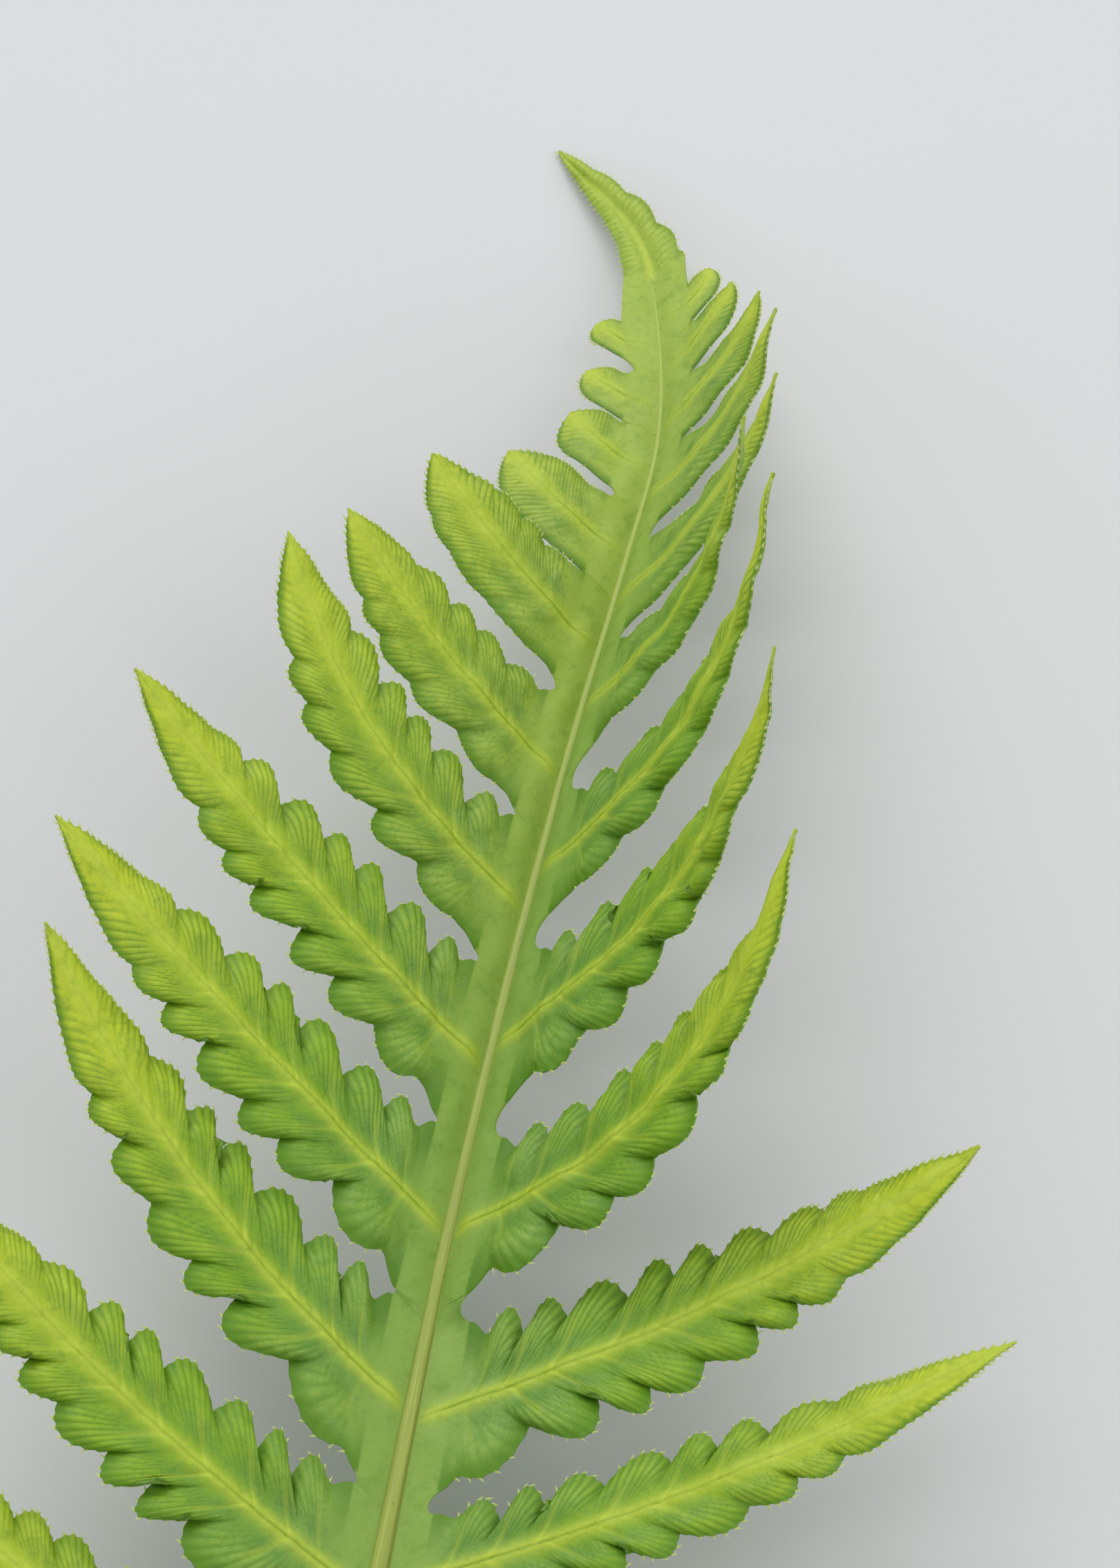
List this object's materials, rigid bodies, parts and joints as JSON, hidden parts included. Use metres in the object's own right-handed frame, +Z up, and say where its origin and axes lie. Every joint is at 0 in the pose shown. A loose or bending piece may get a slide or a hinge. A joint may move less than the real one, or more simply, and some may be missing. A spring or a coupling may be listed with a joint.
{
  "type": "fern frond",
  "caption": "Picked fern frond lying on its back: a pale tapering stalk with a green blade of lobed, finely toothed leaflets that folds up along the stalk.",
  "frame": {"origin": "middle of the frond's outline seen from above, on the surface that it lies on", "axes": "+Y from the cut end of the stalk towards the tip of the blade, +X towards the frond's right side seen from above, +Z up, away from the surface"},
  "size_m": [0.1129, 0.334, 0.0602],
  "materials": {
    "leaf": "soft satin leaf surface, yellow-green, cooler along the stalk",
    "stalk": "smooth pale yellow-green plant stem, satin"
  },
  "bodies": {
    "root": {"blade": "leaf", "stalk": "stalk"}
  },
  "joints": []
}
